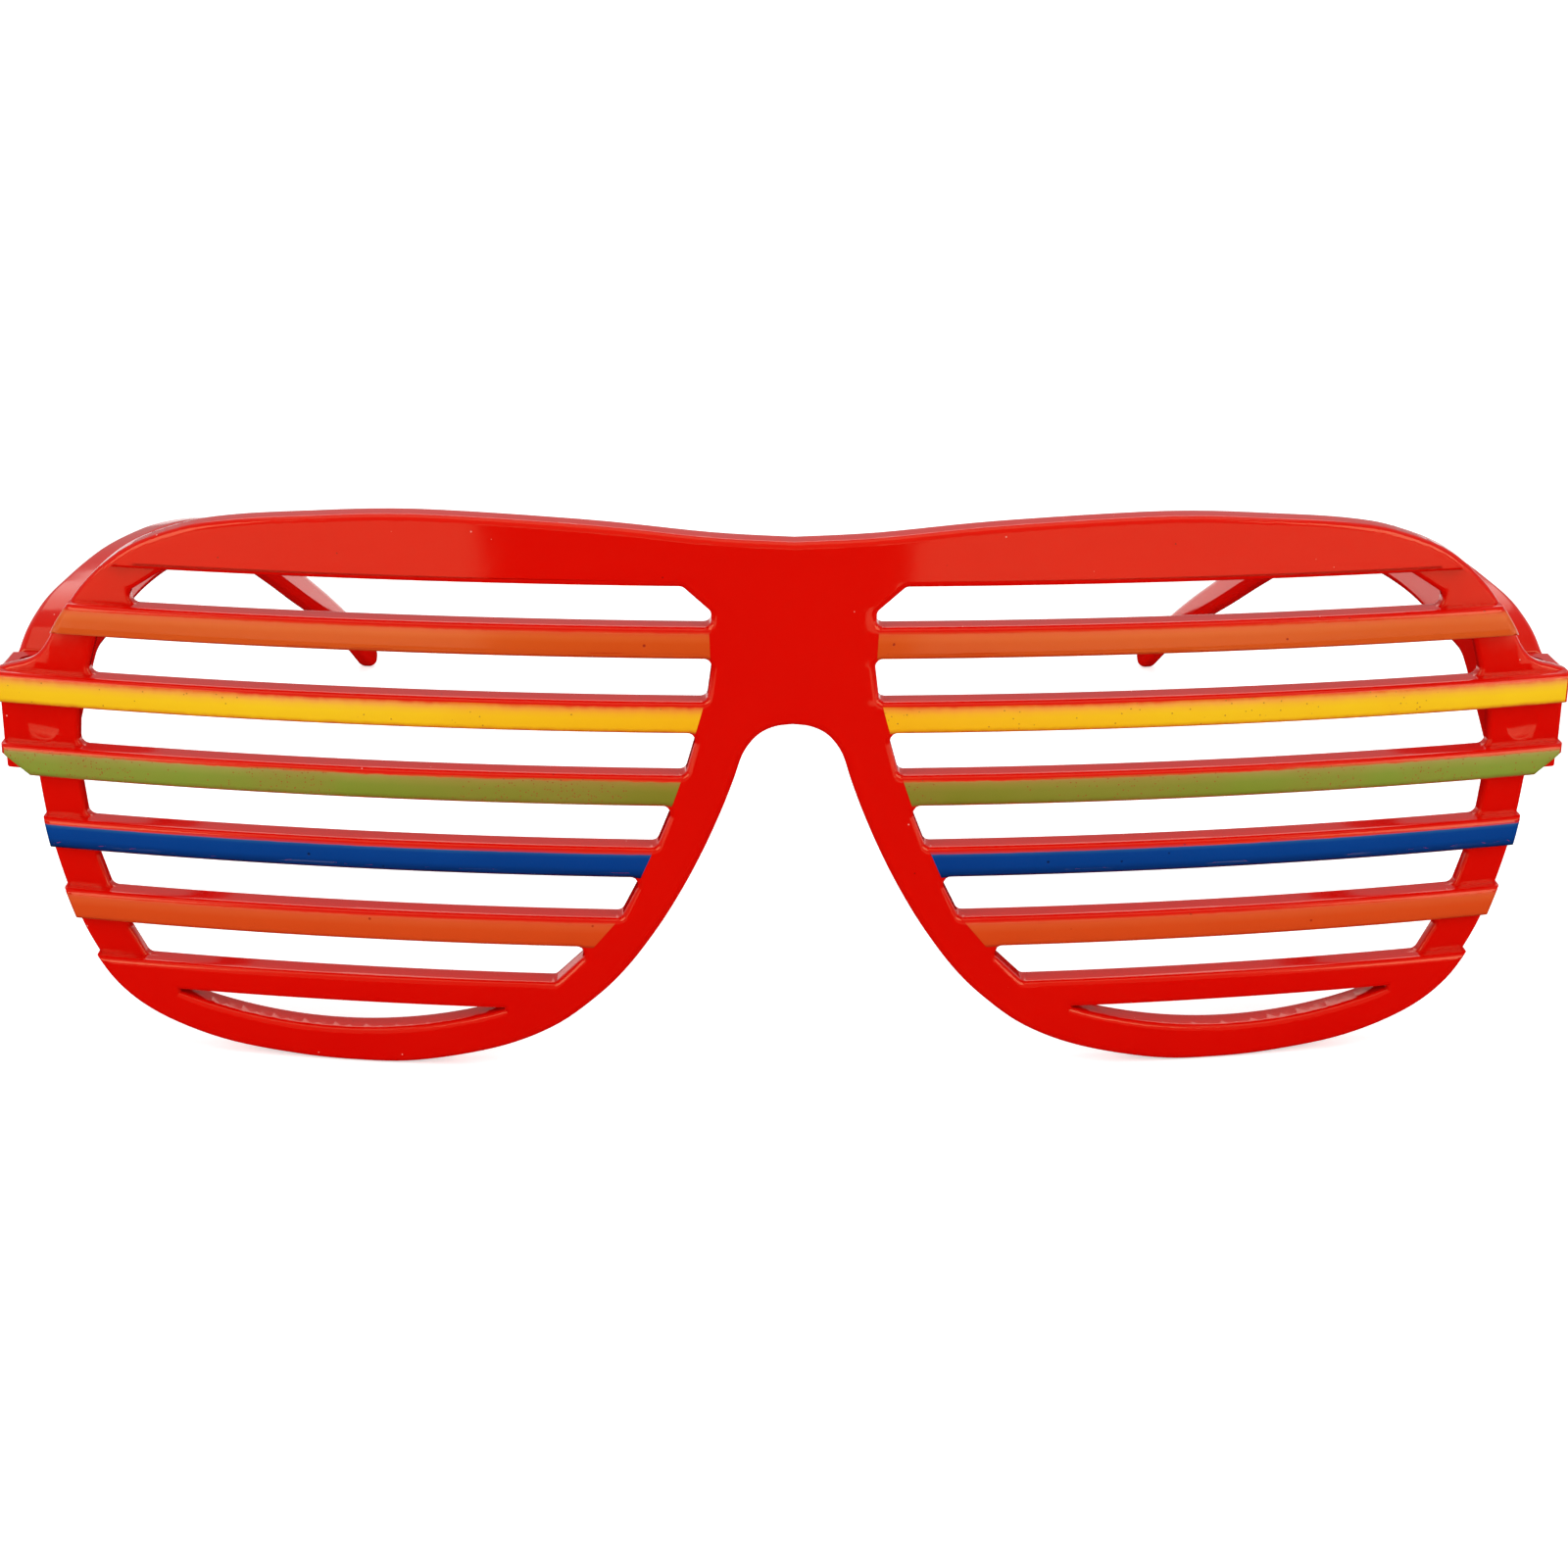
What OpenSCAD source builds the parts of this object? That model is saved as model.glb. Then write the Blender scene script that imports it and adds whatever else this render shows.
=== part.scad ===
// Slatted party glasses: one wrapped front moulding with painted slats in place of lenses,
// and two arched temples that fold on screwed fork-and-tongue hinges.
// The glasses stand on the lower rims and the tips of the temples, at z = 0.
// The front faces -Y, and the middle of the whole object's footprint is at x = 0, y = 0.

/* [Front] */
// Width of the front, from the end of one lug to the end of the other
front_w = 148.8; // [142:0.1:156]
// Height of the front, from the lower rim to the top of the brow bar
front_h = 53.8; // [52:0.1:56]
// Thickness of the front moulding
front_t = 3; // [2.7:0.1:3.5]
// Radius of the front's wrap round the face, measured to its outer face
wrap_r = 288; // [260:1:340]
// Height of the hinges' middle, as a share of the front's height
hinge_share = 0.593; // [0.58:0.001:0.61]

/* [Slats] */
// Distance from one slat to the next, as a share of the front's height
slat_pitch_share = 0.1314; // [0.128:0.0001:0.134]
// Height of a slat
slat_h = 2.57; // [2.2:0.01:3]
// Radius on the front edges of the slats
slat_edge_r = 0.6; // [0.3:0.05:0.9]
// How far the side stiles lie behind the faces of the slats
recess_d = 1.3; // [0.8:0.05:1.6]
// How far the brow bar's lower edge hangs below the rhythm of the slats
brow_lip = 0.43; // [0:0.01:1]
// How far the bottom bar's upper edge stands above the rhythm of the slats
sill_lip = 0.45; // [0:0.01:1]
// Radius in the corners of the slots
slot_corner_r = 0.6; // [0.3:0.05:0.8]
// How far outside the inner ends of the slots the rounding and the paint of the slats start
lens_inset = 0.2; // [0.1:0.05:0.5]
// Thickness of the paint on the slats
paint_t = 0.12; // [0.06:0.01:0.2]

/* [Crescent slot] */
// Height of the bottom bar above the crescent slot
sill_h = 2.8; // [2:0.1:3]
// Length of the crescent's straight upper edge
crescent_w = 32.4; // [28:0.1:36]
// Depth of the crescent's bow
crescent_h = 2.7; // [2.4:0.1:3.2]
// Place of a crescent's middle, as a share of half the front's width
crescent_share = 0.5766; // [0.56:0.001:0.59]

/* [Nose] */
// How far the moulded nose pads stand behind the front
pad_d = 5; // [3:0.1:6]
// Width of a nose pad, from the nose rim outwards
pad_w = 2.6; // [2:0.1:3.2]
// Height of a nose pad
pad_h = 14; // [10:0.5:16]

/* [Hinges] */
// Radius of the hinge knuckles on the lugs
knuckle_r = 2.5; // [2.4:0.05:2.8]
// How far the hinge axes stand behind the back of the front's ends
hinge_stand = 1.62; // [1.5:0.01:3]
// Height of the temple's hinge tongue
tongue_h = 5; // [4:0.1:5.6]
// Width of the tongue's flat part
tongue_w = 4; // [3.2:0.1:4.4]
// Radius of the tongue's round end
tongue_r = 2.4; // [2.2:0.05:2.5]
// Gap above and below the tongue in its fork
fork_gap = 0.12; // [0.05:0.01:0.2]
// Gap round the tongue's end, and between a temple and its lug
swing_gap = 0.3; // [0.2:0.05:0.5]
// Radius of the hinge screw's shank
screw_r = 0.7; // [0.5:0.05:0.9]
// Radius of the hinge screw's head
head_r = 1.1; // [1:0.05:1.4]
// Height of the hinge screw's head
head_h = 0.8; // [0.5:0.05:1]
// How deep the head lies below the top of the lug
head_sink = 0.4; // [0.2:0.05:0.6]
// Radial running clearance round the screw
screw_gap = 0.05; // [0.02:0.01:0.09]

/* [Temples] */
// Length of a temple from its hinge axis to the end of its tip
arm_l = 124; // [118:0.1:130]
// Height of a temple where it passes the wearer's temple
arm_h = 4.4; // [4:0.1:5]
// Thickness of a temple where it passes the wearer's temple
arm_t = 3; // [2.6:0.1:3.4]
// Thickness of a temple where it starts behind its lug
arm_root_t = 5; // [4.5:0.1:5]
// Corner radius of a temple's section
arm_edge_r = 1.1; // [0.8:0.1:1.2]
// Radius of the round end of a temple's tip
tip_r = 1.4; // [1.2:0.1:1.8]
// Angle by which an open temple leans in towards the head
splay = 7.5; // [5:0.1:9]

/* [Hidden] */

// Sides are the wearer's: left is at +X
left = 1;
right = -1;

// Colours of the moulding, the screws and the stripes from the brow down
moulding_red = [0.86, 0.03, 0.02];
screw_steel = [0.55, 0.55, 0.57];
stripe_colours = ["#DC5A1E", "#F0B41E", "#86993A", "#0A4590", "#E0521E"];

half_w = front_w / 2;
hinge_z = hinge_share * front_h;
slat_pitch = slat_pitch_share * front_h;
crescent_x = crescent_share * half_w;
// From the outer face at the middle back to the hinge axes, past the wrap of the ends
hinge_back = wrap_r - sqrt(pow(wrap_r, 2) - pow(half_w, 2)) + front_t + hinge_stand;
arm_lean = arm_l * cos(splay);
// Footprint from the front's face to the temple tips, centred on the origin
tip_bow = tip_r * (1 - cos(splay));
overall_l = hinge_back + arm_lean + tip_bow;
front_y = -overall_l / 2;
hinge_y = front_y + hinge_back;
hinge_x = half_w - knuckle_r;
wrap_y = front_y + wrap_r;

// Cuts run past the faces they open by this much
over = 1;
// Angle of wrap that covers the whole front with room to spare
sweep_room = 10;
wrap_sweep = 2 * asin(half_w / wrap_r) + sweep_room;

// Steps on a curve between two stations, round a corner and down a nose pad
curve_steps = 4;
corner_steps = 4;
pad_steps = 8;
// One step round a slat's edge, in degrees
edge_turn = 30;

// Upper edge from the middle to the lug: shares of the half width and of the height
brow_shares = [[0, 0.963], [0.1, 0.97], [0.253, 0.989], [0.457, 1], [0.605, 0.989],
    [0.696, 0.976], [0.755, 0.957], [0.8185, 0.919], [0.872, 0.857], [0.909, 0.792],
    [0.936, 0.73], [0.957, 0.701], [0.985, 0.685]];
// Lower edge from under the lug round the rim to the nose, in the same shares
rim_shares = [[0.957, 0.49], [0.948, 0.416], [0.9395, 0.351], [0.926, 0.268], [0.903, 0.193],
    [0.868, 0.117], [0.813, 0.063], [0.7325, 0.024], [0.638, 0.0056], [0.558, 0],
    [0.477, 0.0056], [0.376, 0.043], [0.302, 0.087], [0.247, 0.143]];
// Edge of the nose opening from the rim up to the middle of the bridge, in the same shares
nose_shares = [[0.208, 0.199], [0.169, 0.273], [0.138, 0.346], [0.112, 0.418], [0.09, 0.489],
    [0.075, 0.545], [0.063, 0.595], [0.0444, 0.629], [0.0228, 0.646], [0, 0.6506]];
// Inner and outer ends of the slots: share of the height, then share of the half width
slot_inner_shares = [[0.165, 0.312], [0.242, 0.254], [0.29, 0.22], [0.371, 0.188],
    [0.419, 0.173], [0.503, 0.149], [0.551, 0.137], [0.634, 0.12], [0.682, 0.11],
    [0.767, 0.102], [0.89, 0.108]];
slot_outer_shares = [[0.165, 0.833], [0.242, 0.864], [0.29, 0.876], [0.371, 0.894],
    [0.419, 0.9], [0.503, 0.906], [0.551, 0.9045], [0.634, 0.899], [0.682, 0.887],
    [0.767, 0.868], [0.814, 0.823], [0.89, 0.823]];
// Bevelled ends of the uppermost slot: share of the half width cut off, share of the slot's height
bevel_in_shares = [0.035, 0.62];
bevel_out_shares = [0.052, 0.7];
// Stations along a temple: shares of its length, of the hinge height, of its height, of its thickness
arm_shares = [[0.0726, 0.138, 1.5, 1.33], [0.129, 0.1755, 1.45, 1.2], [0.1935, 0.2, 1.32, 1.1],
    [0.258, 0.2, 1.14, 1.03], [0.3226, 0.182, 1.02, 1], [0.403, 0.132, 0.955, 1],
    [0.484, 0.056, 0.886, 1], [0.5645, -0.066, 0.795, 0.97], [0.645, -0.219, 0.705, 0.93],
    [0.726, -0.376, 0.66, 0.93], [0.8145, -0.549, 0.636, 0.93], [0.895, -0.721, 0.636, 0.93]];
// Most that the corner radius of a temple's section takes of its smaller side
arm_round_share = 0.4;
// Thickness of a temple where its round tip starts, as a share of the temple's
tip_thin_share = 0.93;
// Radius of a nose pad's bowed back, as a share of its height
pad_bow_share = 0.6;
// Ends of the lug: share of the half width and of the lug's height cut from the lower corner
lug_bevel_shares = [0.036, 0.2];

// Levels of the slats, counted from the brow down, and of the bars above and below them
function slat_top(i) = hinge_z + (1.5 - i) * slat_pitch + slat_h / 2;
function slat_bottom(i) = slat_top(i) - slat_h;
slats = len(stripe_colours);
brow_edge = slat_bottom(-1) - brow_lip;
sill_top = slat_top(slats) + sill_lip;
function slot_low(i) = i < slats ? slat_top(i) : sill_top;
function slot_high(i) = i > 0 ? slat_bottom(i - 1) : brow_edge;
crescent_top = sill_top - sill_h;
crescent_r = (pow(crescent_w / 2, 2) + pow(crescent_h, 2)) / (2 * crescent_h);
lug_top = slat_top(1);
lug_bottom = slat_bottom(2);
lug_h = lug_top - lug_bottom;
arm_start = knuckle_r + swing_gap;

function unit(v) = v / norm(v);
function sized(shares) = [for (s = shares) [s[0] * half_w, s[1] * front_h]];
function reversed(points) = [for (i = [len(points) - 1:-1:0]) points[i]];
function mirrored(points) = [for (p = reversed(points)) [-p[0], p[1]]];
function level_table(shares) = [for (s = shares) [s[0] * front_h, s[1] * half_w]];
slot_inner = level_table(slot_inner_shares);
slot_outer = level_table(slot_outer_shares);

// Point on the smooth curve through p[i] and p[i + 1], at t from 0 to 1
function curve_at(p, i, t) =
    let (a = p[max(i - 1, 0)], b = p[i], c = p[i + 1], d = p[min(i + 2, len(p) - 1)])
    b + (c - a) * t / 2 + (a * 2 - b * 5 + c * 4 - d) * t * t / 2
    + (b * 3 - a - c * 3 + d) * t * t * t / 2;
function smooth(p, steps) = concat(
    [for (i = [0:len(p) - 2]) for (k = [0:steps - 1]) curve_at(p, i, k / steps)],
    [p[len(p) - 1]]);

// Points that round the corner q between p and s
function corner(p, q, s, r) =
    let (a = unit(p - q), b = unit(s - q), half = acos(a * b) / 2,
        middle = q + unit(a + b) * r / sin(half),
        from = q + a * r / tan(half) - middle, to = q + b * r / tan(half) - middle)
    [for (k = [0:corner_steps])
        middle + r * unit(from * (corner_steps - k) + to * k)];
function rounded(p, r) = [for (i = [0:len(p) - 1])
    each corner(p[(i + len(p) - 1) % len(p)], p[i], p[(i + 1) % len(p)], r)];

// Points of a slat's front edge: turn 0 is on its upper or lower side, turn 90 on its face
function edge_point(level, way, turn, r) =
    [wrap_r - slat_edge_r + r * sin(turn), level - way * slat_edge_r + way * r * cos(turn)];
function edge_round(level, way, r, from, to) =
    let (steps = round(abs(to - from) / edge_turn))
    [for (k = [0:steps]) edge_point(level, way, from + (to - from) * k / steps, r)];

// Corners of slot i on the left lens, before they are rounded
function slot_corners(i) =
    let (low = slot_low(i), high = slot_high(i), rise = high - low)
    i > 0 ? [[lookup(low, slot_inner), low], [lookup(high, slot_inner), high],
        [lookup(high, slot_outer), high], [lookup(low, slot_outer), low]]
    : [[lookup(low, slot_inner), low],
        [lookup(low, slot_inner), high - rise * bevel_in_shares[1]],
        [lookup(low, slot_inner) + half_w * bevel_in_shares[0], high],
        [lookup(low, slot_outer) - half_w * bevel_out_shares[0], high],
        [lookup(low, slot_outer), high - rise * bevel_out_shares[1]],
        [lookup(low, slot_outer), low]];

brow_line = sized(brow_shares);
rim_line = reversed(sized(concat(rim_shares, nose_shares)));
nose_line = sized(nose_shares);
nose_table = [for (p = nose_line) [p[1], p[0]]];
lug_end = [[half_w, lug_top], [half_w, lug_bottom + lug_h * lug_bevel_shares[1]],
    [half_w * (1 - lug_bevel_shares[0]), lug_bottom]];
// The mirrored line ends at the middle, where the other begins
function full_line(p) = concat(mirrored(p), [for (i = [1:len(p) - 1]) p[i]]);
front_outline = concat(
    smooth(full_line(brow_line), curve_steps),
    lug_end,
    reversed(smooth(full_line(rim_line), curve_steps)),
    mirrored(lug_end));

// A band of the wrapped shell, from an outline of radius and height
module wrapped(profile) {
    translate([0, wrap_y, 0])
        rotate([0, 0, 270 - wrap_sweep / 2])
            rotate_extrude(angle = wrap_sweep, $fn = 720)
                polygon(profile);
}

// A prism through the front, from an outline of x and height
module through(depth_from, depth_to) {
    translate([0, front_y + depth_to, 0])
        rotate([90, 0, 0])
            linear_extrude(depth_to - depth_from)
                children();
}

module both_sides() {
    children();
    mirror([1, 0, 0]) children();
}

// The wrapped plate inside the front's outline
module plate() {
    intersection() {
        wrapped([[wrap_r - front_t, 0], [wrap_r, 0], [wrap_r, front_h], [wrap_r - front_t, front_h]]);
        through(-over, hinge_back) polygon(front_outline);
    }
}

// The step into a slot, all along it: it rounds the edges of the slats on both sides of the slot
module slot_groove(i) {
    low = slot_low(i);
    high = slot_high(i);
    wrapped(concat(
        [[wrap_r - recess_d, low]],
        edge_round(low, 1, slat_edge_r, 0, 90),
        [[wrap_r + over, low - slat_edge_r], [wrap_r + over, high + slat_edge_r]],
        edge_round(high, -1, slat_edge_r, 90, 0),
        [[wrap_r - recess_d, high]]));
}

// The part of each lens that lies outside the inner ends of its slots
module lens_field() {
    ends = [for (p = slot_inner) [p[1] + lens_inset, p[0]]];
    both_sides() through(-over, hinge_back) polygon(concat(
        [[half_w + over, -over], [ends[0][0], -over]],
        ends,
        [[ends[len(ends) - 1][0], front_h + over], [half_w + over, front_h + over]]));
}

// Outline of the slot under the bottom bar: a bow below a straight edge
module crescent() {
    intersection() {
        translate([crescent_x, crescent_top + crescent_r - crescent_h])
            circle(r = crescent_r, $fn = 240);
        translate([crescent_x - crescent_w / 2 - over, crescent_top - crescent_h])
            square([crescent_w + 2 * over, crescent_h]);
    }
}

module openings() {
    for (i = [0:slats]) {
        both_sides() through(-over, hinge_back)
            polygon(rounded(slot_corners(i), slot_corner_r));
        intersection() {
            slot_groove(i);
            lens_field();
        }
    }
    both_sides() through(-over, hinge_back) crescent();
}

// The block behind the end of the front that carries the hinge, on the left
module lug() {
    intersection() {
        translate([0, 0, lug_bottom]) union() {
            translate([hinge_x, hinge_y, 0])
                cylinder(r = knuckle_r, h = lug_h, $fn = 64);
            translate([hinge_x - knuckle_r, front_y, 0])
                cube([half_w - hinge_x + knuckle_r, hinge_back, lug_h]);
            translate([hinge_x, front_y, 0])
                cube([half_w - hinge_x, hinge_back + knuckle_r, lug_h]);
        }
        translate([0, wrap_y, 0])
            cylinder(r = wrap_r - (front_t + recess_d) / 2, h = front_h, $fn = 720);
    }
}

// The fork's gap with room for the tongue to swing in, and the screw's hole, on the left
module hinge_cuts() {
    fork_h = tongue_h + 2 * fork_gap;
    reach = knuckle_r + over;
    translate([hinge_x, hinge_y, hinge_z]) {
        cylinder(r = tongue_r + swing_gap, h = fork_h, center = true, $fn = 64);
        translate([-reach, 0, -fork_h / 2])
            cube([2 * reach, reach, fork_h]);
        translate([-reach, -tongue_w / 2 - swing_gap, -fork_h / 2])
            cube([reach, reach, fork_h]);
        translate([0, 0, -(lug_h + tongue_h) / 4])
            cylinder(r = screw_r + screw_gap, h = lug_h, $fn = 48);
        translate([0, 0, lug_h / 2 - head_h - head_sink])
            cylinder(r = head_r + screw_gap, h = head_h + head_sink + over, $fn = 48);
    }
}

// A moulded nose pad behind the nose rim, on the left
module nose_pad() {
    pad_top = nose_line[len(nose_line) - 1][1] - pad_h / 2;
    heights = [for (k = [0:pad_steps]) pad_top - pad_h * k / pad_steps];
    bow_r = pad_bow_share * pad_h;
    intersection() {
        through(front_t / 2, front_t + pad_d) polygon(concat(
            [for (z = heights) [lookup(z, nose_table), z]],
            [for (z = reversed(heights)) [lookup(z, nose_table) + pad_w, z]]));
        translate([0, front_y + front_t + pad_d - bow_r, pad_top - pad_h / 2])
            rotate([0, 90, 0])
                cylinder(r = bow_r, h = half_w, $fn = 96);
    }
}

module front_frame() {
    color(moulding_red) difference() {
        union() {
            plate();
            both_sides() lug();
            both_sides() nose_pad();
        }
        openings();
        both_sides() hinge_cuts();
    }
}

// Stations of a temple's centre line: distance from the hinge, level, height and thickness
arm_stations = concat(
    [[arm_start, 0, lug_h - fork_gap, arm_root_t]],
    [for (s = arm_shares) [s[0] * arm_l, s[1] * hinge_z, s[2] * arm_h, s[3] * arm_t]],
    [[arm_l - tip_r, tip_r - hinge_z, 2 * tip_r, arm_t * tip_thin_share]]);
arm_line = smooth(arm_stations, curve_steps);
arm_rings = len(arm_line);

// Direction of a temple at ring i: it turns from level at the hinge to the line's own
function arm_way(i) =
    let (a = arm_line[max(i - 1, 0)], b = arm_line[min(i + 1, arm_rings - 1)])
    unit([b[0] - a[0], (b[1] - a[1]) * min(i / curve_steps, 1)]);
// One point of a temple's section: across, along and up from the hinge's middle
function arm_point(at, way, h, t, turn) =
    let (r = min(arm_edge_r, arm_round_share * min(h, t)),
        side = (t / 2 - r) * sign(cos(turn)) + r * cos(turn),
        rise = (h / 2 - r) * sign(sin(turn)) + r * sin(turn))
    [side, at[0] - way[1] * rise, at[1] + way[0] * rise];
// Each corner of a section is rounded by four points, from this turn to the same before 90
turn_in = 9;
ring_turns = [for (q = [0:3]) for (k = [0:3]) 90 * q + turn_in + (90 - 2 * turn_in) * k / 3];
// Rings that close the round tip, as turns away from the last full section
tip_turns = [24, 46, 66, 82];
function arm_ring(i) = [for (turn = ring_turns)
    arm_point(arm_line[i], arm_way(i), arm_line[i][2], arm_line[i][3], turn)];
function tip_ring(bend) =
    let (last = arm_line[arm_rings - 1], way = arm_way(arm_rings - 1))
    [for (turn = ring_turns) arm_point(
        [last[0] + way[0] * tip_r * sin(bend), last[1] + way[1] * tip_r * sin(bend)],
        way, last[2] * cos(bend), last[3] * cos(bend), turn)];

// A skin over rings of equal count, closed at both ends
module skin(rings) {
    n = len(rings[0]);
    last = len(rings) - 1;
    polyhedron(
        points = [for (ring = rings) each ring],
        faces = concat(
            [[for (k = [n - 1:-1:0]) k]],
            [for (i = [0:last - 1]) for (k = [0:n - 1])
                each [[i * n + k, (i + 1) * n + (k + 1) % n, (i + 1) * n + k],
                    [i * n + k, i * n + (k + 1) % n, (i + 1) * n + (k + 1) % n]]],
            [[for (k = [0:n - 1]) last * n + k]]));
}

// The left temple: an arm on a tongue that the screw passes through
module temple() {
    color(moulding_red) translate([hinge_x, hinge_y, hinge_z]) rotate([0, 0, splay])
        difference() {
            union() {
                skin(concat([for (i = [0:arm_rings - 1]) arm_ring(i)],
                    [for (bend = tip_turns) tip_ring(bend)]));
                cylinder(r = tongue_r, h = tongue_h, center = true, $fn = 64);
                translate([-tongue_w / 2, 0, -tongue_h / 2])
                    cube([tongue_w, arm_start + over, tongue_h]);
            }
            cylinder(r = screw_r + screw_gap, h = lug_h, center = true, $fn = 48);
        }
}

// A slotted screw with its head sunk in the top of the lug, on the left
module hinge_screw() {
    head_top = lug_top - head_sink;
    shank_end = lug_bottom + (lug_h - tongue_h) / 4 + screw_gap;
    driver_w = head_r / 3;
    color(screw_steel) translate([hinge_x, hinge_y, 0]) difference() {
        union() {
            translate([0, 0, head_top - head_h])
                cylinder(r = head_r, h = head_h, $fn = 48);
            translate([0, 0, shank_end])
                cylinder(r = screw_r, h = head_top - head_h / 2 - shank_end, $fn = 48);
        }
        translate([-head_r - over, -driver_w / 2, head_top - head_h / 2])
            cube([2 * (head_r + over), driver_w, head_h]);
    }
}

// A coat of paint over the face and edges of slat i, from the lens's inner side to its outline
module stripe(i, side) {
    coat_r = slat_edge_r + paint_t;
    color(stripe_colours[i]) intersection() {
        wrapped(concat(
            edge_round(slat_top(i), 1, slat_edge_r, edge_turn, 90),
            edge_round(slat_bottom(i), -1, slat_edge_r, 90, edge_turn),
            edge_round(slat_bottom(i), -1, coat_r, edge_turn, 90),
            edge_round(slat_top(i), 1, coat_r, 90, edge_turn)));
        through(-over, hinge_back) polygon(front_outline);
        lens_field();
        translate([side > 0 ? 0 : -half_w, front_y - over, 0])
            cube([half_w, hinge_back, front_h]);
    }
}

module temple_left() temple();
module temple_right() mirror([1, 0, 0]) temple();
module hinge_screw_left() hinge_screw();
module hinge_screw_right() mirror([1, 0, 0]) hinge_screw();
module stripe_orange_upper_left() stripe(0, left);
module stripe_yellow_left() stripe(1, left);
module stripe_green_left() stripe(2, left);
module stripe_blue_left() stripe(3, left);
module stripe_orange_lower_left() stripe(4, left);
module stripe_orange_upper_right() stripe(0, right);
module stripe_yellow_right() stripe(1, right);
module stripe_green_right() stripe(2, right);
module stripe_blue_right() stripe(3, right);
module stripe_orange_lower_right() stripe(4, right);

front_frame();
temple_left();
temple_right();
hinge_screw_left();
hinge_screw_right();
stripe_orange_upper_left();
stripe_yellow_left();
stripe_green_left();
stripe_blue_left();
stripe_orange_lower_left();
stripe_orange_upper_right();
stripe_yellow_right();
stripe_green_right();
stripe_blue_right();
stripe_orange_lower_right();
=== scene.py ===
import bpy
import bmesh
import math
from mathutils import Matrix, Vector


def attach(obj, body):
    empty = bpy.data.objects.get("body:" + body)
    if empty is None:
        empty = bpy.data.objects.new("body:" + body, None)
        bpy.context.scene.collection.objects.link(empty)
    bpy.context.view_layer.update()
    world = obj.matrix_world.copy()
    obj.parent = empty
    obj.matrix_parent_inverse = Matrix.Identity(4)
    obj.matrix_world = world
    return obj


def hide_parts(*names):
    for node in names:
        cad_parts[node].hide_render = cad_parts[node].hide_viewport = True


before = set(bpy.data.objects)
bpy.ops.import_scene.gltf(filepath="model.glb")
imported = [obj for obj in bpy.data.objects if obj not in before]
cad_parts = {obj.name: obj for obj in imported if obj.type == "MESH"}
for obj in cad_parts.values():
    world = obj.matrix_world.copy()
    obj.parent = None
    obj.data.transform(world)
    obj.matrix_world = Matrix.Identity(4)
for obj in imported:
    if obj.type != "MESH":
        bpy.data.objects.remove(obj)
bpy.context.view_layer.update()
mm = 0.001
mergeGap = 0.002 * mm      # points nearer to each other than this are one
print("frame loaded")

# The wrapped front. All sizes in the dictionaries are in mm
front = {
    "width": 148.8,
    "height": 53.8,
    "thickness": 3.0,
    "wrapRadius": 288.0,
    "edgeRadius": 0.6,       # round on the edges of brow, slats and bars
    "backRadius": 0.45,      # round on the edges of the stiles and of the back
    "backShrink": 0.02,      # the back level is this much smaller, so that no faces coincide
    "recess": 1.3,           # the side stiles lie this far behind the slats
    "hingeShare": 0.593,     # the hinges' level, as a share of the height
    "sliceWidth": 1.5,       # slices this narrow keep the wrap smooth
}
slat = {
    "count": 5,
    "pitchShare": 0.1314,    # of the front's height
    "height": 3.0,
    "drop": 0.1,             # the gap between slats 1 and 2 lies this far below the hinges' level
    "browLip": 0.33,
    "sillLip": 0.35,
    "cornerRadius": 0.7,
    "blank": 4.0,            # depth of the comb before its back is cut off
    "depth": 2.1,            # and after it
}
# Lugs and temples stand here because they say how far back the whole object reaches
lug = {
    "knuckle": 2.5, "stand": 1.62, "edge": 0.3, "bevel": (0.036, 0.2),
    "root": 2.0,             # the lug starts this far behind the face
    "floor": 1.0,            # left under the screw's hole
}
temple = {
    "length": 124.0, "height": 4.4, "thickness": 3.0, "rootThickness": 5.4,
    "tipRadius": 1.4, "tipThinShare": 0.93, "splay": 7.5, "edgeRadius": 1.1, "roundShare": 0.4,
    "tongueHeight": 5.0, "tongueRadius": 2.4, "tongueWidth": 4.0,
    "tongueEdge": 0.2, "tongueRoot": 1.0, "rootBevel": 0.25, "forkGap": 0.12, "swingGap": 0.3,
}

# Outlines: (share of the half width, share of the height)
browShares = [(0, 0.963), (0.1, 0.97), (0.253, 0.989), (0.457, 1), (0.605, 0.989),
    (0.696, 0.976), (0.755, 0.957), (0.8185, 0.919), (0.872, 0.857), (0.909, 0.792),
    (0.936, 0.73), (0.957, 0.705), (0.985, 0.692)]
rimShares = [(0.957, 0.49), (0.951, 0.416), (0.9425, 0.351), (0.926, 0.268), (0.905, 0.193),
    (0.869, 0.117), (0.815, 0.063), (0.7325, 0.0235), (0.638, 0.0052), (0.558, 0),
    (0.477, 0.0052), (0.376, 0.036), (0.302, 0.08), (0.247, 0.138)]
noseShares = [(0.206, 0.197), (0.1667, 0.273), (0.1357, 0.346), (0.1097, 0.418), (0.0877, 0.489),
    (0.0727, 0.545), (0.0607, 0.594), (0.0435, 0.626), (0.0228, 0.6415), (0, 0.646)]
# Ends of the slots: (share of the height, share of the half width)
slotInnerShares = [(0.165, 0.298), (0.242, 0.241), (0.29, 0.213), (0.371, 0.184),
    (0.419, 0.169), (0.503, 0.145), (0.551, 0.133), (0.634, 0.116), (0.682, 0.106),
    (0.767, 0.098), (0.89, 0.104)]
slotOuterShares = [(0.165, 0.828), (0.242, 0.859), (0.29, 0.871), (0.371, 0.889),
    (0.419, 0.895), (0.503, 0.901), (0.551, 0.8995), (0.634, 0.894), (0.682, 0.882),
    (0.767, 0.863), (0.814, 0.818), (0.89, 0.818)]
bevelIn, bevelOut = (0.035, 0.62), (0.052, 0.66)      # cut ends of the uppermost slot

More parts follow.
